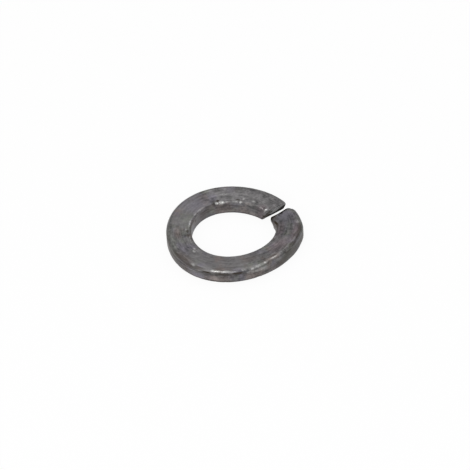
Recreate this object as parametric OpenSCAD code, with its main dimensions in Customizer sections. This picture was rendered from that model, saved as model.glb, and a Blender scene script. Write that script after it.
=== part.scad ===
// Spring lock washer: one turn of rounded rectangular bar, split by one slanted cut.
// The bore axis is Z, the split is on +X, and Z is 0 at half the free height of the bore.
// The bar falls as it goes anticlockwise, seen from above, from the raised end to the low end.

/* [Ring] */
// Diameter of the bore
bore_d = 12.6; // [8:0.1:24]
// Width of the bar, from the bore to the outer wall
bar_w = 3.8; // [2.4:0.1:6]
// Thickness of the bar, along the axis
bar_t = 2.3; // [1.6:0.05:4]
// Lean of the bar's top and bottom faces, up towards the outer wall, in degrees
bar_dish = 4.1; // [0:0.1:8]

/* [Split] */
// Height of the raised end over the low end, when nothing presses on them
end_rise = 0.3; // [0:0.05:3]
// Width of the split, along the bar at half its thickness
split_w = 1.5; // [0.8:0.05:4]
// Slant of the two cut faces from upright, which makes one sharp edge on each end
cut_slant = 22; // [0:1:35]

/* [Edges] */
// Radius of the top edge at the outer wall
outer_top_r = 0.65; // [0.1:0.05:0.75]
// Radius of the bottom edge at the outer wall
outer_bottom_r = 0.4; // [0.1:0.05:0.75]
// Radius of the top edge at the bore
inner_top_r = 0.3; // [0.1:0.05:0.75]
// Radius of the bottom edge at the bore
inner_bottom_r = 0.25; // [0.1:0.05:0.75]
// Plan radius of the low end's outer corner
low_corner_r = 0.95; // [0.15:0.05:1.4]
// Plan radius of the raised end's outer corner
raised_corner_r = 0.3; // [0.15:0.05:1.4]

/* [Hidden] */
// Rings of points along the bar, and steps across each rounded edge and corner
stations = 120;
edge_steps = 4;
corner_steps = 6;
// How far the ends of the sweep stop short of the middle of the split, in degrees
sweep_margin = 0.4;
// How far a cutting shape runs past what it cuts
past = 1;
// How far a rounded corner runs past the outer wall
corner_past = 0.03;

bore_r = bore_d / 2;
outer_r = bore_r + bar_w;
half_t = bar_t / 2;

// Height of the bar's middle at an angle from the split, counted anticlockwise
function lift(a) = end_rise * (0.5 - a / 360);

// How much higher the bar's faces lie at radius r than at the bore
function dish_lift(r) = (r - bore_r) * tan(bar_dish);

// A quarter of a circle about [x, z] that starts at angle a0 and leaves out its last point
function edge_arc(x, z, r, a0) =
    [for (i = [0 : edge_steps - 1])
        let (a = a0 - 90 * i / edge_steps)
        [x + r * cos(a), z + r * sin(a)]];

// The same quarter, with its first point left out and its last point kept
function edge_arc_end(x, z, r, a0) =
    [for (i = [1 : edge_steps])
        let (a = a0 - 90 * i / edge_steps)
        [x + r * cos(a), z + r * sin(a)]];

// Where the last facets of two rounded edges meet, beyond the wall at radius x
function facet_apex(x, side, top_r, bottom_r) =
    let (
        step = 90 / edge_steps,
        lean = tan(step / 2),
        top_z = half_t - top_r,
        bottom_z = bottom_r - half_t
    )
    [x + side * lean * (top_z - bottom_z) / 2, (top_z + bottom_z) / 2];

// Section of the bar as [radius, height], clockwise from the top edge at the outer wall.
// Its sides reach past the two walls, which the tube then cuts true.
section = concat(
    edge_arc(outer_r - outer_top_r, half_t - outer_top_r, outer_top_r, 90),
    [facet_apex(outer_r, 1, outer_top_r, outer_bottom_r)],
    edge_arc_end(outer_r - outer_bottom_r, outer_bottom_r - half_t, outer_bottom_r, 0),
    edge_arc(bore_r + inner_bottom_r, inner_bottom_r - half_t, inner_bottom_r, 270),
    [facet_apex(bore_r, -1, inner_top_r, inner_bottom_r)],
    edge_arc_end(bore_r + inner_top_r, half_t - inner_top_r, inner_top_r, 180)
);

// The whole turn of bar as one closed shape, with the section repeated at each station
module bar_turn() {
    m = len(section);
    points = [
        for (s = [0 : stations])
            let (a = sweep_margin + (360 - 2 * sweep_margin) * s / stations)
            for (p = section)
                [p[0] * cos(a), p[0] * sin(a), p[1] + lift(a) + dish_lift(p[0])]
    ];
    sides = [
        for (s = [0 : stations - 1], j = [0 : m - 1])
            let (k = (j + 1) % m, b = s * m, t = b + m)
            each [[b + j, t + k, b + k], [b + j, t + j, t + k]]
    ];
    start_cap = [[for (j = [0 : m - 1]) j]];
    end_cap = [[for (j = [m - 1 : -1 : 0]) stations * m + j]];
    polyhedron(points = points, faces = concat(sides, start_cap, end_cap), convexity = 6);
}

// The outer wall and the bore
module wall_tube() {
    tall = bar_t + end_rise + 2 * dish_lift(outer_r) + 2 * past;
    difference() {
        cylinder(r = outer_r, h = tall, center = true, $fn = 180);
        cylinder(r = bore_r, h = tall + 2 * past, center = true, $fn = 180);
    }
}

// One side of the split in plan, from the bore outwards, with its rounded outer corner
function split_side(side, r) =
    let (
        y = split_w * cos(cut_slant) / 2,
        x = sqrt(outer_r * outer_r - (y + r) * (y + r)) + corner_past - r
    )
    concat(
        [[bore_r - past, side * y]],
        [for (i = [0 : corner_steps])
            let (a = 90 * i / corner_steps)
            [x + r * sin(a), side * (y + r - r * cos(a))]],
        [[outer_r + past, side * (y + r)]]
    );

function reversed(list) = [for (i = [len(list) - 1 : -1 : 0]) list[i]];

// The cut that parts the two ends, leaning by the slant
module split_cut() {
    deep = 2 * (bar_t + end_rise + dish_lift(outer_r) + past);
    rotate([cut_slant, 0, 0])
        linear_extrude(height = deep, center = true)
            polygon(concat(
                split_side(-1, low_corner_r),
                reversed(split_side(1, raised_corner_r))
            ));
}

module spring_washer() {
    color("dimgray")
        difference() {
            intersection() {
                bar_turn();
                wall_tube();
            }
            split_cut();
        }
}

spring_washer();
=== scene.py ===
import math
import bpy
from mathutils import Matrix, Vector


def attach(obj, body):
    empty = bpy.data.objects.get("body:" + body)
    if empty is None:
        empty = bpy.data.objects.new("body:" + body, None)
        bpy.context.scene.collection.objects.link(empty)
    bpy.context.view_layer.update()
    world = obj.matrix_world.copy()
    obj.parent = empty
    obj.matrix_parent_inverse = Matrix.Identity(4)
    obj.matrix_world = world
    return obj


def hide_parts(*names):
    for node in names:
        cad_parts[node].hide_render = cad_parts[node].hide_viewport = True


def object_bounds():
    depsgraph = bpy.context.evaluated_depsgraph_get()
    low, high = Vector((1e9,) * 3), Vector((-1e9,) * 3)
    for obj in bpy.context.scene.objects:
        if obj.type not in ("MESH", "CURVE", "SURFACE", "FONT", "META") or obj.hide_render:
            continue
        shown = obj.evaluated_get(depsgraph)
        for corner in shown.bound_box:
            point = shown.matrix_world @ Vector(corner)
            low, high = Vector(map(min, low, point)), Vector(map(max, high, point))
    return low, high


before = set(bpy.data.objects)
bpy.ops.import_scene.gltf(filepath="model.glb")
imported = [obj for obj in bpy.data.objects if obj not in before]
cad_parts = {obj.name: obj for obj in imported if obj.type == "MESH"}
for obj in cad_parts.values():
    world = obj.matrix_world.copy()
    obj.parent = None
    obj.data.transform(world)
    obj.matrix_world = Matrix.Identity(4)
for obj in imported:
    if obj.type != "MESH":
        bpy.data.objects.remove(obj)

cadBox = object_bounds()
mm = 0.001
ringRadius = 8.2  # millimetres from the axis to the bar's middle, turns an angle into a length along the bar
# places along the bar, in millimetres from the split
alongBar = {"rearLeft": 17.0, "rollMark": 31.5, "front": 33.0, "frontWall": 33.5}
rollMarkRise = 0.36  # height of the roll mark on the bar's section


class Field:  # one number that runs through a node tree, so a rule reads as plain arithmetic
    def __init__(self, tree, socket):
        self.tree, self.socket = tree, socket

    def use(self, operation, *others, clamp=False):
        node = self.tree.nodes.new("ShaderNodeMath")
        node.operation = operation
        node.use_clamp = clamp
        for slot, value in zip(node.inputs, (self,) + others):
            plug(self.tree, value, slot)
        return Field(self.tree, node.outputs[0])

    def __add__(self, other):
        return self.use("ADD", other)

    def __radd__(self, other):
        return self.use("ADD", other)

    def __sub__(self, other):
        return self.use("SUBTRACT", other)

    def __rsub__(self, other):
        return (self * -1.0) + other

    def __mul__(self, other):
        return self.use("MULTIPLY", other)

    def __rmul__(self, other):
        return self.use("MULTIPLY", other)

    def __truediv__(self, other):
        return self.use("DIVIDE", other)

    def above(self, other):
        return self.use("GREATER_THAN", other)

    def clamped(self):
        return self.use("ADD", 0.0, clamp=True)

    def sin(self):
        return self.use("SINE")

    def cos(self):
        return self.use("COSINE")

    def tan(self):
        return self.use("TANGENT")

    def asin(self):
        return self.use("ARCSINE")

    def root(self):
        return self.use("SQRT")

    def most(self, other):
        return self.use("MAXIMUM", other)

    def abs(self):
        return self.use("ABSOLUTE")

    def power(self, other):
        return self.use("POWER", other)


def plug(tree, value, slot):
    if isinstance(value, Field):
        tree.links.new(value.socket, slot)
    elif hasattr(value, "is_output"):
        tree.links.new(value, slot)
    else:
        slot.default_value = value


def pick(choice, whenOff, whenOn):  # whenOff where choice is 0, whenOn where it is 1
    return whenOff + choice * (whenOn - whenOff)


def ramp(value, low, high):  # 0 at low, 1 at high, smooth between
    tree = value.tree
    node = tree.nodes.new("ShaderNodeMapRange")
    node.interpolation_type = "SMOOTHSTEP"
    for name, item in (("Value", value), ("From Min", low), ("From Max", high)):
        plug(tree, item, node.inputs[name])
    return Field(tree, node.outputs["Result"])


def vector(tree, x, y, z):
    node = tree.nodes.new("ShaderNodeCombineXYZ")
    for slot, value in zip(node.inputs, (x, y, z)):
        plug(tree, value, slot)
    return node.outputs[0]


def parts(tree, socket):
    node = tree.nodes.new("ShaderNodeSeparateXYZ")
    tree.links.new(socket, node.inputs[0])
    return [Field(tree, out) for out in node.outputs]


def noise(tree, place, scale, detail=2.0, rough=0.5, shift=0.0):  # runs from 0 to 1 about 0.5
    node = tree.nodes.new("ShaderNodeTexNoise")
    node.noise_dimensions = "4D"
    plug(tree, place, node.inputs["Vector"])
    for name, value in (("W", shift), ("Scale", scale), ("Detail", detail), ("Roughness", rough)):
        node.inputs[name].default_value = value
    return Field(tree, node.outputs["Fac"] if "Fac" in node.outputs else node.outputs[0])


washer = {  # millimetres and radians
    "boreRadius": 6.31,
    "barWidth": 3.82,
    "barThickness": 2.32,
    "endRise": 0.3,
    "raisedGap": 0.675,  # each cut face's distance from the split's middle, at half height
    "lowGap": 0.745,
    "raisedSlant": math.radians(27),
    "raisedFaceTurn": math.radians(0.5),  # the cut runs a little off the radius
    "lowSlant": math.radians(2),
    "lowFaceTurn": math.radians(-6.5),
    "outerTopRadius": 0.65,
    "outerBottomRadius": 0.4,
    "innerTopRadius": 0.34,
    "innerBottomRadius": 0.25,
    "lowOuterCorner": 1.32,
    "lowInnerCorner": 0.32,
    "raisedOuterCorner": 0.42,
    "raisedBulge": 0.42,  # the sheared end is spread at the foot of its outer wall
    "raisedInnerCorner": 0.12,
    "lowLip": 0.42,  # the low end's inner corner is pushed in at the top
    "lowFlank": 0.2,  # behind the low end the outer wall stands out, and a little of it carries on
    "flankAt": 5.3,
    "flankReach": 2.3,
    "flankTailAt": 8.0,
    "frontSwell": 0.07,  # the bar is wider at the front left and thinner at the front right
    "frontAt": math.radians(215),
    "sideThin": 0.08,
    "sideAt": math.radians(292),
    "raisedRollTop": 0.16,  # the edges that the cut left rounded
    "raisedRollBottom": 0.2,
    "lowRollTop": 0.22,
    "lowRollBottom": 0.3,
    "lobeDepth": 0.166,  # three shallow lobes left by the coiling
    "lobeTurn": math.radians(24.6),
    "coilIn": -0.584,  # the raised end lies further in than the low one
    "narrowing": -0.134,
    "dish": math.radians(4.2),
    "barSwell": 0.02,  # waviness left by rolling
    "rollMark": 0.06,  # groove under the rounded outer edge, toward the front of the photo
    "edgeBite": 0.07,  # depth of the nicks along the edges
    "skinGrain": 0.007,
    "cutRough": 0.05,
}
# rows of points along the bar and on each cut face, points round its section, steps in each rounded edge,
# and how far the rows crowd towards the ends
washerMesh = {"bodyRows": 520, "capRows": 14, "around": 176, "edgeSteps": 12, "crowd": 0.6}

# single knocks: degrees round the bar, place across and up its section, reach along and across, depth
knocks = (
    (77.5, -1.72, 1.12, 0.45, 0.12, 0.13),
    (227.8, 1.86, 0.68, 0.35, 0.14, 0.12),
    (45.5, -1.55, 1.15, 0.3, 0.12, 0.09),
    (216.0, 1.9, 0.5, 1.1, 0.10, 0.06),
    (240.0, 1.9, 0.5, 1.3, 0.10, 0.06),
    (9.5, -1.75, 1.1, 0.3, 0.18, 0.12),
    (331.0, 1.5, 1.12, 0.4, 0.2, 0.08),
    (300.0, 1.62, 1.05, 0.9, 0.15, 0.07),
    (118.0, -1.62, 1.16, 0.6, 0.10, 0.06),
    (204.0, 1.62, 1.05, 0.4, 0.16, 0.07),
)


def roundOff(first, second, size):  # turns the square corner of two distances into a quarter round
    one = (size - first).most(0.0)
    two = (size - second).most(0.0)
    squeeze = one.most(two) / (one * one + two * two + 1e-9).root()
    return one * (1.0 - squeeze), two * (1.0 - squeeze)


# 1 in the core of a place on the skin, 0 beyond its reach
def spotAt(tree, flow, place, along, across, core=0.0):
    value = flow
    middle = (math.radians(place[0]) * ringRadius, place[1], place[2])
    for operation, other in (("SUBTRACT", middle), ("DIVIDE", (along, across, across)), ("LENGTH", None)):
        node = tree.nodes.new("ShaderNodeVectorMath")
        node.operation = operation
        tree.links.new(value, node.inputs[0])
        if other:
            node.inputs[1].default_value = other
        value = node.outputs["Value" if operation == "LENGTH" else "Vector"]
    return ramp(Field(tree, value), 1.0, core)


def buildBarTree():
    tree = bpy.data.node_groups.new("splitRing", "GeometryNodeTree")
    tree.interface.new_socket(name="Geometry", in_out="OUTPUT", socket_type="NodeSocketGeometry")
    for name in washer:
        tree.interface.new_socket(name=name, in_out="INPUT", socket_type="NodeSocketFloat")
    tree.interface.new_socket(name="metal", in_out="INPUT", socket_type="NodeSocketMaterial")
    new, link = tree.nodes.new, tree.links.new
    source = new("NodeGroupInput")
    size = {name: Field(tree, source.outputs[name]) for name in washer}

    # a sheet of points: rows run along the bar with a few for each cut face, columns run round its section
    capRows, bodyRows = washerMesh["capRows"], washerMesh["bodyRows"]
    rows = bodyRows + 2 * capRows
    grid = new("GeometryNodeMeshGrid")
    sheet = {"Size X": 1.0, "Size Y": 1.0, "Vertices X": rows, "Vertices Y": washerMesh["around"]}
    for name, value in sheet.items():
        grid.inputs[name].default_value = value
    gridX, gridY, _ = parts(tree, new("GeometryNodeInputPosition").outputs[0])
    row = ((gridX + 0.5) * (rows - 1.0)).use("ROUND")
    along = ((row - float(capRows)) / (bodyRows - 1.0)).clamped()  # 0 at the raised end, 1 at the low end
    along = along - (along * (2 * math.pi)).sin() * (washerMesh["crowd"] / (2 * math.pi))
    raisedCap = ((float(capRows) - row) / float(capRows)).clamped()
    lowCap = ((row - float(capRows + bodyRows - 1)) / float(capRows)).clamped()
    cap = raisedCap + lowCap  # 0 on the skin of the bar, 1 at the middle of a cut face

    # the section: a rectangle with its own radius at each edge
    flat = new("GeometryNodeCurvePrimitiveQuadrilateral")
    plug(tree, size["barWidth"], flat.inputs["Width"])
    plug(tree, size["barThickness"], flat.inputs["Height"])
    cornerX, cornerY, _ = parts(tree, new("GeometryNodeInputPosition").outputs[0])
    outer, top = cornerX.above(0.0), cornerY.above(0.0)
    edgeRadius = pick(
        outer,
        pick(top, size["innerBottomRadius"], size["innerTopRadius"]),
        pick(top, size["outerBottomRadius"], size["outerTopRadius"]),
    )
    fillet = new("GeometryNodeFilletCurve")
    if hasattr(fillet, "mode"):
        fillet.mode = "POLY"
    fillet.inputs["Count"].default_value = washerMesh["edgeSteps"]
    link(flat.outputs[0], fillet.inputs["Curve"])
    plug(tree, edgeRadius, fillet.inputs["Radius"])
    sample = new("GeometryNodeSampleCurve")
    sample.mode = "FACTOR"
    sample.use_all_curves = True
    link(fillet.outputs[0], sample.inputs["Curves"])
    plug(tree, (gridY + 0.5).clamped(), sample.inputs["Factor"])
    secX, secY, _ = parts(tree, sample.outputs["Position"])
    shrink = 1.0 - cap.power(1.3)
    secX, secY = secX * shrink, secY * shrink
    halfWidth, halfThick = size["barWidth"] * 0.5, size["barThickness"] * 0.5

    # the cut faces, with rounded edges and corners
    fullTurn = 2.0 * math.pi
    radius = size["boreRadius"] + halfWidth + secX
    raisedFace = size["raisedGap"] - secY * size["raisedSlant"].tan() + secX * size["raisedFaceTurn"].tan()
    lowFace = size["lowGap"] + secY * size["lowSlant"].tan() + secX * size["lowFaceTurn"].tan()
    turn = fullTurn - (raisedFace / radius).asin() - (lowFace / radius).asin()
    onLow = along.above(0.5)
    fromEnd = pick(onLow, along, 1.0 - along) * turn * radius
    run, side, rise = fromEnd, secX, secY
    lowRoll = size["lowRollTop"] + (size["outerTopRadius"] - size["lowRollTop"]) * ramp(side, 0.5, 1.9)
    a, b = roundOff(run, halfThick - rise, pick(onLow, size["raisedRollTop"], lowRoll))
    run, rise = run + a, rise - b
    a, b = roundOff(run, halfThick + rise, pick(onLow, size["raisedRollBottom"], size["lowRollBottom"]))
    run, rise = run + a, rise + b
    a, b = roundOff(run, halfWidth - side, pick(onLow, size["raisedOuterCorner"], size["lowOuterCorner"]))
    run, side = run + a, side - b
    a, b = roundOff(run, halfWidth + side, pick(onLow, size["raisedInnerCorner"], size["lowInnerCorner"]))
    run, side = run + a, side + b
    radius = size["boreRadius"] + halfWidth + side
    startAngle = (pick(onLow, raisedFace, lowFace) / radius).asin() + run / radius
    angle = pick(onLow, startAngle, fullTurn - startAngle)

    # helix, dish and the unevenness of a coiled ring
    reach = 0.5 - angle / fullTurn  # 0.5 at the raised end, -0.5 at the low end
    height = rise + size["endRise"] * reach + (side + halfWidth) * size["dish"].tan()
    lobes = size["lobeDepth"] * ((angle + size["lobeTurn"]) * 3.0).cos()
    radius = radius + lobes + size["coilIn"] * reach + size["narrowing"] * reach * side / halfWidth
    foot = ramp(side, 0.8, 1.8) * ramp(rise, 1.0, -0.2) * ramp(run, 1.8, 0.2) * (1.0 - onLow)
    radius = radius + foot * size["raisedBulge"]
    lip = ramp(side, -0.9, -1.8) * ramp(rise, -0.9, 0.8) * ramp(run, 2.4, 1.3) * onLow
    flank = ramp((run - size["flankAt"]).abs(), size["flankReach"], 0.0)
    flank = flank + ramp((run - size["flankTailAt"]).abs(), 3.0, 0.5) * 0.4
    flank = flank - ramp(run, 4.2, 0.8) * 0.95  # nearer the cut it draws in again
    flank = flank * ramp(side, 0.0, 1.8) * onLow
    wide = ramp((angle - size["frontAt"]).abs(), 0.9, 0.1) * side / halfWidth
    thin = ramp((angle - size["sideAt"]).abs(), 0.9, 0.1) * side / halfWidth
    radius = radius - lip * size["lowLip"] + flank * size["lowFlank"]
    radius = radius + wide * size["frontSwell"] - thin * size["sideThin"]

    # where each point lies on the bar, kept for the wear and for the finish, then the move into place
    shape = grid.outputs["Mesh"]
    facts = (
        ("barFlow", "FLOAT_VECTOR", vector(tree, angle * ringRadius, side, rise)),
        ("barEnd", "FLOAT", run),
    )
    for name, kind, value in facts:
        store = new("GeometryNodeStoreNamedAttribute")
        store.data_type = kind
        store.domain = "POINT"
        store.inputs["Name"].default_value = name
        link(shape, store.inputs["Geometry"])
        plug(tree, value, store.inputs["Value"])
        shape = store.outputs[0]
    setShape = new("GeometryNodeSetPosition")
    link(shape, setShape.inputs["Geometry"])
    link(vector(tree, radius * angle.cos(), radius * angle.sin(), height), setShape.inputs["Position"])
    shape = setShape.outputs[0]
    merge = new("GeometryNodeMergeByDistance")
    merge.inputs["Distance"].default_value = 0.0005
    link(shape, merge.inputs["Geometry"])
    shape = merge.outputs[0]

    # wear: swell of the rolled bar, nicks along the edges, single knocks, grain of the skin, torn cut faces
    here = new("GeometryNodeInputPosition").outputs[0]
    kept = {}
    for name, kind in (("barFlow", "FLOAT_VECTOR"), ("barEnd", "FLOAT")):
        kept[name] = new("GeometryNodeInputNamedAttribute")
        kept[name].data_type = kind
        kept[name].inputs["Name"].default_value = name
    flow = parts(tree, kept["barFlow"].outputs["Attribute"])
    cut = ramp(Field(tree, kept["barEnd"].outputs["Attribute"]), 0.06, 0.0)
    edge = ramp(flow[1].abs() / halfWidth, 0.74, 0.97) * ramp(flow[2].abs() / halfThick, 0.5, 0.95)
    swell = (noise(tree, here, 0.35, 2.0, 0.5, 1.7) - 0.5) * 2.0 * size["barSwell"]
    bite = ramp(noise(tree, here, 1.6, 3.0, 0.6, 8.3), 0.55, 0.72) * edge * size["edgeBite"]
    grain = (noise(tree, here, 5.0, 3.0, 0.65, 4.1) - 0.5) * 2.0 * size["skinGrain"]
    torn = (noise(tree, here, 2.4, 4.0, 0.7, 2.9) - 0.5) * 2.0 * size["cutRough"] * cut
    push = swell - bite + grain - torn
    mark = ramp((flow[2] - rollMarkRise).abs(), 0.16, 0.0) * ramp(flow[1], 1.5, 1.8)
    mark = mark * ramp((flow[0] - alongBar["rollMark"]).abs(), 6.5, 3.0)
    mark = mark * ramp(noise(tree, here, 0.9, 2.0, 0.5, 15.0), 0.35, 0.55)
    push = push - mark * size["rollMark"]
    for spot in knocks:
        push = push - spotAt(tree, kept["barFlow"].outputs["Attribute"], spot[:3], spot[3], spot[4]) * spot[5]
    scaleNormal = new("ShaderNodeVectorMath")
    scaleNormal.operation = "SCALE"
    link(new("GeometryNodeInputNormal").outputs[0], scaleNormal.inputs[0])
    plug(tree, push, scaleNormal.inputs["Scale"])
    setWear = new("GeometryNodeSetPosition")
    link(shape, setWear.inputs["Geometry"])
    link(scaleNormal.outputs[0], setWear.inputs["Offset"])

    toMetres = new("GeometryNodeTransform")
    toMetres.inputs["Scale"].default_value = (mm, mm, mm)
    link(setWear.outputs[0], toMetres.inputs["Geometry"])
    smooth = new("GeometryNodeSetShadeSmooth")
    link(toMetres.outputs[0], smooth.inputs["Geometry"])
    realize = new("GeometryNodeRealizeInstances")
    link(smooth.outputs[0], realize.inputs["Geometry"])
    paint = new("GeometryNodeSetMaterial")
    link(realize.outputs[0], paint.inputs["Geometry"])
    link(source.outputs["metal"], paint.inputs["Material"])
    out = new("NodeGroupOutput")
    link(paint.outputs[0], out.inputs[0])
    return tree


def makeWasher(metal):
    seed = bpy.data.objects.new("washerSeed", bpy.data.meshes.new("washerSeed"))
    bpy.context.scene.collection.objects.link(seed)
    tree = buildBarTree()
    change = seed.modifiers.new("splitRing", "NODES")
    change.node_group = tree
    for item in tree.interface.items_tree:
        if item.in_out == "INPUT":
            change[item.identifier] = metal if item.name == "metal" else float(washer[item.name])
    seed.update_tag()
    bpy.context.view_layer.update()
    view = bpy.context.evaluated_depsgraph_get()
    built = seed.evaluated_get(view)
    mesh = bpy.data.meshes.new_from_object(built, preserve_all_data_layers=True, depsgraph=view)
    bpy.data.objects.remove(seed)
    mesh.name = "washerBody"
    piece = bpy.data.objects.new("washerBody", mesh)
    bpy.context.scene.collection.objects.link(piece)
    triangles = sum(len(face.vertices) - 2 for face in mesh.polygons)
    print("washer:", len(mesh.vertices), "points,", triangles, "triangles")
    return piece


finish = {  # colours of the oxide, of bare steel and painted highlights, of the dark nicks and painted shade, and the sheen
    "darkSteel": (0.125, 0.120, 0.122, 1.0),
    "violetSteel": (0.124, 0.116, 0.134, 1.0),
    "oliveSteel": (0.121, 0.123, 0.113, 1.0),
    "brownSteel": (0.138, 0.115, 0.108, 1.0),
    # bare steel, also the colour of the painted highlights
    "wornSteelAndGlint": (0.85, 0.85, 0.83, 1.0),
    "plumSteel": (0.138, 0.110, 0.119, 1.0),
    "duskSteel": (0.098, 0.092, 0.108, 1.0),
    # black of the dark nicks and of the painted shade
    "nickAndShadeBlack": (0.030, 0.022, 0.014, 1.0),
    # black of the painted shade in the split
    "gapShadeBlack": (0.010, 0.008, 0.008, 1.0),
    "roughness": 0.42,
    "metallic": 0.45,
}

# tints that drift over the whole bar: colour, noise scale and shift, where it starts and is full, strength
tints = (
    ("violetSteel", 0.42, 3.3, 0.46, 0.62, 1.0),
    ("oliveSteel", 0.5, 7.1, 0.5, 0.66, 1.0),
    ("brownSteel", 0.55, 11.9, 0.54, 0.68, 0.8),
)

# painted highlights and glints on the edges, top and walls: degrees round the bar, place across and up its
# section, reach along and across, strength
paintedGlints = (
    (73.2, -1.83, 0.97, 0.95, 0.37, 1.0),
    (79.5, -1.82, 1.01, 0.55, 0.32, 1.0),
    (66.0, -1.80, 1.02, 0.6, 0.22, 0.35),
    (52.5, -1.82, 1.00, 0.5, 0.24, 0.3),
    (46.3, -1.80, 1.02, 0.45, 0.32, 0.65),
    (43.0, -1.13, 1.15, 0.35, 0.42, 0.3),
    (28.6, -1.20, 1.15, 0.6, 0.32, 0.35),
    (14.2, -1.75, 1.10, 0.35, 0.26, 0.4),
    (4.6, -1.62, 1.02, 0.32, 0.5, 1.0),
    (67.0, -0.20, 1.15, 1.1, 0.30, 0.25),
    (106.0, -1.70, 1.12, 1.6, 0.24, 0.25),
    (117.0, -1.66, 1.12, 0.9, 0.24, 0.22),
    (137.0, -1.56, 1.15, 1.7, 0.24, 0.45),
    (150.0, -1.15, 1.15, 0.3, 0.25, 0.35),
    (168.0, -1.42, 1.15, 1.2, 0.2, 0.25),
    (225.0, 1.70, 0.96, 1.1, 0.22, 0.7),
    (233.0, 1.70, 0.96, 1.1, 0.20, 0.55),
    (240.5, 1.70, 0.96, 0.6, 0.18, 0.2),
    (249.0, 1.69, 0.96, 0.5, 0.26, 0.5),
    (256.5, 1.76, 0.88, 0.5, 0.34, 0.6),
    (262.5, 1.69, 0.96, 1.0, 0.30, 0.55),
    (269.4, 1.60, 1.04, 0.6, 0.28, 0.6),
    (262.0, 1.90, 0.35, 1.8, 0.45, 0.28),
    (254.0, 1.90, 0.50, 0.8, 0.30, 0.25),
    (279.4, 1.48, 1.10, 0.8, 0.24, 0.5),
    (290.0, 1.30, 1.15, 1.4, 0.16, 0.25),
    (333.0, 1.36, 1.14, 0.4, 0.45, 0.3),
    (318.0, 1.05, 1.15, 0.5, 0.3, 0.2),
    (204.2, 1.66, 1.00, 0.45, 0.30, 0.6),
    (191.8, -0.59, 1.15, 0.45, 0.30, 0.5),
    (188.5, -0.95, 1.15, 0.30, 0.25, 0.4),
    (309.0, 1.28, 1.15, 1.6, 0.16, 0.2),
    (344.0, -1.85, 0.55, 0.8, 0.40, 0.25),
)

# tinted patches of the oxide: degrees, place across, reach along and across, colour, strength
stains = (
    (341.0, -0.3, 2.4, 1.9, "duskSteel", 0.9),
    (322.0, -1.2, 2.6, 0.8, "plumSteel", 0.9),
    (320.0, 1.1, 2.6, 0.7, "plumSteel", 1.0),
    (322.0, 0.0, 2.6, 0.7, "oliveSteel", 0.7),
    (296.0, 0.1, 2.6, 1.5, "plumSteel", 0.9),
    (12.0, -1.9, 1.5, 1.2, "plumSteel", 1.0),
    (40.0, 0.3, 5.5, 3.0, "darkSteel", 0.9),
    (104.0, -0.4, 3.2, 2.4, "violetSteel", 0.9),
    (157.0, 0.2, 1.5, 0.8, "brownSteel", 1.0),
    (150.0, 1.5, 3.4, 0.9, "oliveSteel", 0.7),
    (181.0, 0.5, 2.2, 0.9, "violetSteel", 1.0),
    (172.0, 1.5, 1.6, 0.7, "oliveSteel", 1.0),
    (192.0, 1.4, 2.2, 0.9, "brownSteel", 0.6),
    (258.0, -0.3, 1.8, 1.0, "brownSteel", 0.6),
)
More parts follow.
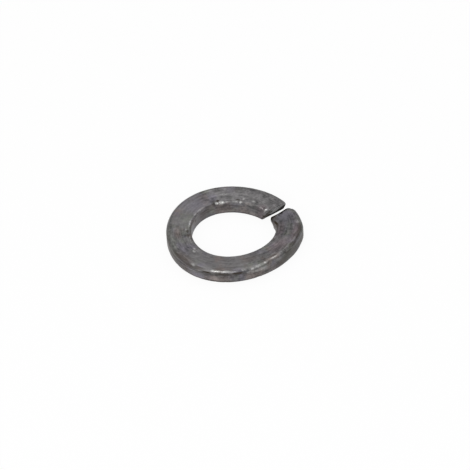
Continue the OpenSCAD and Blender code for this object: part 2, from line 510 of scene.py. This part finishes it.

# dark nicks, and painted shade and painted dark reflections in the split, on the walls and round the edges:
# degrees round the bar, place across and up its section, reach along and across, strength
nicksAndShade = (
    (4.6, -1.35, 0.5, 0.8, 0.50, 1.2),
    (5.4, -0.75, 0.3, 0.8, 0.45, 1.0),
    (6.4, -1.5, -0.2, 1.0, 0.65, 1.2),
    (3.4, -0.95, 1.0, 0.5, 0.24, 0.9),
    (4.4, -1.25, 0.35, 0.7, 0.55, 2.0),
    (3.0, -1.2, 0.72, 0.5, 0.42, 1.3),
    (6.8, -1.0, -0.4, 0.7, 0.45, 2.5),
    (351.0, -1.45, 1.1, 0.5, 0.40, 1.0),
    (327.0, 1.45, 1.1, 1.6, 0.20, 0.6),
    (316.0, 1.2, 1.15, 1.0, 0.35, 0.5),
    (300.0, 1.9, 0.2, 3.0, 0.60, 0.5),
    (318.0, 1.9, 0.0, 2.6, 0.60, 0.6),
    (322.0, 1.35, 1.1, 1.2, 0.16, 0.7),
    (311.0, 1.6, 0.9, 1.2, 0.2, 0.5),
    (225.0, 1.88, -0.85, 3.6, 0.20, 0.6),
    (135.0, -1.88, 0.75, 3.0, 0.24, 0.5),
    (156.0, -1.86, 0.85, 2.6, 0.22, 0.5),
    (160.0, 1.90, 0.80, 3.4, 0.40, 0.5),
    (77.5, -1.46, 1.16, 0.45, 0.24, 1.0),
    (83.0, -1.48, 1.16, 0.4, 0.18, 0.6),
    (50.5, -1.46, 1.16, 0.6, 0.18, 0.8),
    (62.0, -1.62, 1.16, 1.2, 0.12, 0.4),
    (121.0, -1.88, 0.3, 0.5, 0.35, 0.6),
    (153.0, -1.35, 1.16, 0.6, 0.3, 0.6),
    (161.0, -1.28, 1.16, 0.5, 0.3, 0.5),
    (170.0, -1.62, 1.1, 0.7, 0.26, 0.5),
    (217.5, 1.90, 0.60, 0.9, 0.20, 0.9),
    (231.0, 1.90, 0.60, 1.5, 0.17, 0.7),
    (243.5, 1.88, 0.62, 1.0, 0.24, 0.9),
    (226.0, 1.42, 1.12, 0.9, 0.10, 0.5),
    (236.0, 1.42, 1.12, 0.8, 0.10, 0.4),
    (200.0, 1.74, 0.70, 2.2, 0.40, 0.6),
    (209.0, 1.68, 0.86, 1.6, 0.30, 0.55),
    (192.0, 1.55, 1.05, 1.4, 0.30, 0.5),
    (195.0, 1.50, 1.08, 0.6, 0.20, 0.5),
    (185.0, 1.72, 0.80, 2.2, 0.35, 0.6),
    (346.5, -1.60, 1.00, 1.1, 0.50, 0.55),
    (334.0, -1.62, 1.10, 1.9, 0.20, 0.85),
    (318.0, 1.60, 1.00, 2.4, 0.15, 0.45),
    (303.0, 1.64, 0.95, 1.4, 0.30, 0.5),
    (303.0, 1.48, 1.10, 0.7, 0.32, 0.6),
    (298.2, 0.93, 1.15, 0.7, 0.20, 0.35),
    (281.0, 1.16, 1.15, 0.7, 0.22, 0.45),
    (309.8, 1.23, 1.15, 0.6, 0.20, 0.35),
    (315.4, 1.60, 1.04, 1.0, 0.25, 0.6),
    (296.2, 1.87, 0.63, 1.2, 0.30, 0.45),
    (286.6, 1.88, -0.28, 1.6, 0.40, 0.35),
    (146.0, 1.90, 0.30, 4.0, 0.60, 0.7),
    (170.0, 1.90, 0.30, 3.0, 0.50, 0.6),
    (90.0, -1.88, 0.10, 2.5, 0.12, 0.5),
    (70.0, -1.88, -0.30, 3.0, 0.10, 0.5),
    (55.0, -1.88, 0.35, 2.5, 0.10, 0.5),
    (100.0, -1.88, 0.50, 1.6, 0.18, 0.5),
)


def colourMix(tree, factor, first, second, kind="MIX"):
    node = tree.nodes.new("ShaderNodeMix")
    node.data_type = "RGBA"
    node.blend_type = kind
    plug(tree, factor, node.inputs[0])
    plug(tree, first, node.inputs[6])
    plug(tree, second, node.inputs[7])
    return node.outputs[2]


def scaled(tree, place, x, y, z):
    node = tree.nodes.new("ShaderNodeVectorMath")
    node.operation = "MULTIPLY"
    tree.links.new(place, node.inputs[0])
    node.inputs[1].default_value = (x, y, z)
    return node.outputs[0]


def makeOxide():
    mat = bpy.data.materials.new("darkOxideSteel")
    mat.use_nodes = True
    tree = mat.node_tree
    shader = tree.nodes["Principled BSDF"]
    here = scaled(tree, tree.nodes.new("ShaderNodeTexCoord").outputs["Object"], 1 / mm, 1 / mm, 1 / mm)
    bar = tree.nodes.new("ShaderNodeAttribute")
    bar.attribute_name = "barFlow"
    endInfo = tree.nodes.new("ShaderNodeAttribute")
    endInfo.attribute_name = "barEnd"
    place = bar.outputs["Vector"]
    flow = parts(tree, place)
    fromCut = Field(tree, endInfo.outputs["Fac"])
    streakPlace = scaled(tree, place, 0.28, 1.7, 1.7)  # drawn out along the bar

    # tints of the oxide, then its light and dark
    base = finish["darkSteel"]
    for colour, scale, shift, start, full, strength in tints:
        drift = ramp(noise(tree, here, scale, 2.0, 0.5, shift), start, full)
        base = colourMix(tree, drift * strength, base, finish[colour])
    nearRaised = ramp(flow[0], 8.0, 5.0)
    base = colourMix(tree, nearRaised * 0.8, base, finish["darkSteel"])
    flatPlace = scaled(tree, place, 1.0, 1.0, 0.2)
    for stain in stains:
        spread = spotAt(tree, flatPlace, (stain[0], stain[1], 0.23), stain[2], stain[3])
        base = colourMix(tree, spread.power(0.6) * stain[5], base, finish[stain[4]])
    wall = ramp(flow[1], 1.5, 1.85) * ramp(flow[2], 0.7, 0.2)
    innerWall = ramp(flow[1], -1.6, -1.86)
    wallTint = (wall + innerWall) * ramp(noise(tree, here, 0.4, 2.0, 0.5, 5.6), 0.4, 0.6)
    base = colourMix(tree, wallTint * 0.8, base, finish["brownSteel"])
    streak = noise(tree, streakPlace, 1.0, 3.0, 0.6, 2.2) - 0.5
    cloud = noise(tree, here, 0.6, 2.0, 0.5, 9.4) - 0.5
    speckle = noise(tree, here, 2.6, 3.0, 0.65, 6.2) - 0.5
    blotch = noise(tree, here, 1.15, 2.0, 0.5, 21.3) - 0.5
    fibre = noise(tree, streakPlace, 2.6, 2.0, 0.6, 31.0) - 0.5
    # painted shade along the bottom edges of both walls
    bottomEdgeShade = (ramp(flow[1], 1.55, 1.86) + ramp(flow[1], -1.7, -1.88) * 0.6) * ramp(flow[2], -0.7, -0.95)
    # painted shade on the outer wall away from the front
    wallShade = wall * ramp((flow[0] - alongBar["frontWall"]).abs(), 3.5, 7.5)
    # the top is plainer and lighter at the front and at the rear left
    calm = 0.5 + ramp((flow[0] - alongBar["front"]).abs(), 2.5, 7.0) * 0.5
    rearLeft = ramp((flow[0] - alongBar["rearLeft"]).abs(), 5.0, 2.5) * ramp(flow[1], 1.7, 1.3)
    calm = calm * (1.0 - rearLeft * 0.5)
    calm = calm.most(ramp(flow[1], 1.3, 1.7))
    light = 1.0 + (streak * 1.85 + fibre * 1.6 + cloud * 1.6 + blotch * 1.2 + speckle * 2.0) * calm
    light = light * (1.28 - calm * 0.28)
    # painted shade: the bore wall and the outer wall away from the front made darker
    light = light * (1.0 - innerWall * 0.15) * (1.0 - wallShade * 0.4)
    light = light * (1.0 - ramp(flow[0], 40.0, 46.0) * 0.1)
    # painted shade in the groove of the roll mark
    mark = ramp((flow[2] - rollMarkRise).abs(), 0.2, 0.05) * ramp(flow[1], 1.5, 1.8)
    mark = mark * ramp((flow[0] - alongBar["rollMark"]).abs(), 7.0, 3.0)
    light = light * (1.0 - bottomEdgeShade * 0.6) * (1.0 - mark * 0.4)
    light = light.most(0.35)
    base = colourMix(tree, 1.0, base, vector(tree, light, light, light), "MULTIPLY")

    # painted shade in the split: the foot of the raised end's cut face, the inner corner of the low end and a
    # spot on its inner top edge darkened
    lowEnd = flow[0].above(math.pi * ringRadius)
    outward = ramp(flow[1], 0.2, 1.7)
    foot = flow[2] + (speckle + cloud) * 0.4 - outward * 0.8
    cutFootShade = ramp(fromCut, 0.32, 0.22) * ramp(foot, -0.2, -0.5) * (1.0 - lowEnd)
    cutFootShade = cutFootShade * (ramp(flow[1], -1.8, -0.9) * 0.5 + 0.5)
    lowEndShade = ramp(fromCut + (blotch + speckle) * 0.9 + flow[1] * 0.11, 0.42, 0.2) * lowEnd
    gapShade = (cutFootShade + lowEndShade * ramp(flow[1] + cloud, 1.4, 0.6)).clamped()
    gapShade = gapShade.most(spotAt(tree, place, (350.0, -1.75, 0.9), 0.8, 0.6))
    base = colourMix(tree, gapShade, base, finish["gapShadeBlack"])
    nickAndShadeMask = gapShade * 0.0  # no dark nick or painted shade yet
    for darkSpot in nicksAndShade:
        nickAndShadeMask = nickAndShadeMask.most(spotAt(tree, place, darkSpot[:3], darkSpot[3], darkSpot[4], 0.45) * darkSpot[5])
    nickAndShadeMask = nickAndShadeMask * (1.0 + (speckle + blotch) * 1.4)

    # bare bright steel worn on the edges, and painted highlights at the listed glints
    cutFace = ramp(fromCut, 0.16, 0.04)
    edge = ramp(flow[1].abs(), 1.5, 1.78) * ramp(flow[2], 0.75, 1.02) * (1.0 - cutFace)
    wearAndGlint = edge * ramp(noise(tree, streakPlace, 1.6, 3.0, 0.65, 13.0), 0.5, 0.72) * 0.22
    wearAndGlint = wearAndGlint * ramp(flow[0], 47.5, 45.5)
    patchy = ramp(noise(tree, here, 4.0, 2.0, 0.6, 17.0), 0.35, 0.6) * 0.75 + 0.25
    for glint in paintedGlints:
        wearAndGlint = wearAndGlint.most(spotAt(tree, place, glint[:3], glint[3], glint[4]) * (glint[5] * patchy))
    base = colourMix(tree, wearAndGlint.clamped(), base, finish["wornSteelAndGlint"])
    base = colourMix(tree, nickAndShadeMask.clamped(), base, finish["nickAndShadeBlack"])
    # less sheen under the dark nicks and the painted shade
    matte = gapShade.most(nickAndShadeMask.clamped()).most(bottomEdgeShade * 0.5).most(wallShade * 0.45).most(innerWall.clamped() * 0.3)
    tree.links.new(base, shader.inputs["Base Color"])
    plug(tree, (1.0 - matte) * finish["metallic"], shader.inputs["Metallic"])
    plug(tree, (1.0 - matte * 0.9) * 0.5, shader.inputs["Specular IOR Level"])
    rough = finish["roughness"] + speckle * 0.3 + streak * 0.25 - wearAndGlint * 0.16 + gapShade * 0.25
    plug(tree, rough.clamped(), shader.inputs["Roughness"])

    # fine tooth, too small to be built
    bump = tree.nodes.new("ShaderNodeBump")
    bump.inputs["Strength"].default_value = 0.35
    bump.inputs["Distance"].default_value = 0.03 * mm
    tooth = noise(tree, here, 6.0, 4.0, 0.65, 1.5) + noise(tree, streakPlace, 4.0, 2.0, 0.5, 4.4) * 0.6
    plug(tree, tooth, bump.inputs["Height"])
    tree.links.new(bump.outputs[0], shader.inputs["Normal"])
    return mat


oxide = makeOxide()
body = makeWasher(oxide)
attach(body, "root")
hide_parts("spring_washer")
print("finish and washer made")

shot = {  # where the photo was taken from: degrees, pixels of the photo, millimetres
    "elevation": 39.96,
    "turn": -28.73,  # the camera's right, measured from the split's direction
    "roll": 3.84,
    "photoPixels": 470,
    "originPixel": (232.15, 233.66),
    "mmPerPixel": 0.15078,
    "lens": 260.0,
    "skyStrength": 0.55,
}
# lamps: place to the right, away and up from the ring, width and height, all in metres, and watts
lamps = {
    "overhead": ((0.0, 0.1, 0.35), (0.4, 0.4), 0.5),
    "front": ((-0.1, -0.35, 0.25), (0.3, 0.2), 0.9),
}


def makeFloor():
    low = cadBox[0].z
    mesh = bpy.data.meshes.new("floor")
    half = 0.4
    corners = [(-half, -half, low), (half, -half, low), (half, half, low), (-half, half, low)]
    mesh.from_pydata(corners, [], [(0, 1, 2, 3)])
    floor = bpy.data.objects.new("floor", mesh)
    bpy.context.scene.collection.objects.link(floor)
    mat = bpy.data.materials.new("paleFloor")
    mat.use_nodes = True
    tree = mat.node_tree
    shader = tree.nodes["Principled BSDF"]
    shader.inputs["Base Color"].default_value = (0.86, 0.86, 0.86, 1.0)
    shader.inputs["Roughness"].default_value = 0.9
    shader.inputs["Specular IOR Level"].default_value = 0.0
    glow = tree.nodes.new("ShaderNodeEmission")
    glow.inputs["Strength"].default_value = 1.0
    path = tree.nodes.new("ShaderNodeLightPath")
    seen = Field(tree, path.outputs["Is Camera Ray"]) + Field(tree, path.outputs["Is Glossy Ray"])
    seen = (seen + Field(tree, path.outputs["Is Transmission Ray"])).clamped() * 0.93
    mix = tree.nodes.new("ShaderNodeMixShader")
    plug(tree, seen, mix.inputs[0])
    tree.links.new(shader.outputs[0], mix.inputs[1])
    tree.links.new(glow.outputs[0], mix.inputs[2])
    tree.links.new(mix.outputs[0], tree.nodes["Material Output"].inputs["Surface"])
    floor.data.materials.append(mat)


def flatFrame():  # the camera's right and its way ahead, laid on the floor
    turn = math.radians(shot["turn"])
    return Vector((math.cos(turn), math.sin(turn), 0.0)), Vector((-math.sin(turn), math.cos(turn), 0.0))


def softBox(name, place, area, power):  # a flat lamp that faces the ring
    lamp = bpy.data.lights.new(name, "AREA")
    lamp.shape = "RECTANGLE"
    lamp.size, lamp.size_y = area
    lamp.energy = power
    right, ahead = flatFrame()
    box = bpy.data.objects.new(name, lamp)
    bpy.context.scene.collection.objects.link(box)
    box.location = right * place[0] + ahead * place[1] + Vector((0, 0, place[2]))
    box.rotation_euler = (-box.location).to_track_quat("-Z", "Y").to_euler()


def cameraFrame():
    right, ahead = flatFrame()
    up, roll = math.radians(shot["elevation"]), math.radians(shot["roll"])
    back = Vector((0, 0, math.sin(up))) - ahead * math.cos(up)
    rise = Vector((0, 0, math.cos(up))) + ahead * math.sin(up)
    # the camera leans clockwise, so the ring reads turned anticlockwise
    leanRight = right * math.cos(roll) - rise * math.sin(roll)
    leanRise = rise * math.cos(roll) + right * math.sin(roll)
    return leanRight, leanRise, back


def makeCamera():
    data = bpy.data.cameras.new("view")
    data.lens, data.sensor_width = shot["lens"], 36.0
    camera = bpy.data.objects.new("view", data)
    bpy.context.scene.collection.objects.link(camera)
    right, rise, back = cameraFrame()
    pixel = shot["mmPerPixel"] * mm
    distance = pixel * shot["photoPixels"] * data.lens / data.sensor_width
    data.clip_start, data.clip_end = distance * 0.2, distance * 5.0
    middle = shot["photoPixels"] / 2
    offX = (middle - shot["originPixel"][0]) * pixel
    offY = (shot["originPixel"][1] - middle) * pixel
    place = back * distance + right * offX + rise * offY
    turn = Matrix((right, rise, back)).transposed().to_4x4()
    camera.matrix_world = Matrix.Translation(place) @ turn
    bpy.context.scene.camera = camera


def makeSky():
    world = bpy.data.worlds.new("studio")
    world.use_nodes = True
    sky = world.node_tree.nodes["Background"]
    sky.inputs["Color"].default_value = (1.0, 1.0, 1.0, 1.0)
    sky.inputs["Strength"].default_value = shot["skyStrength"]
    bpy.context.scene.world = world


makeFloor()
for name, (place, area, power) in lamps.items():
    softBox(name, place, area, power)
makeSky()
makeCamera()
bpy.context.scene.view_settings.view_transform = "Standard"
print("floor, light and camera made")
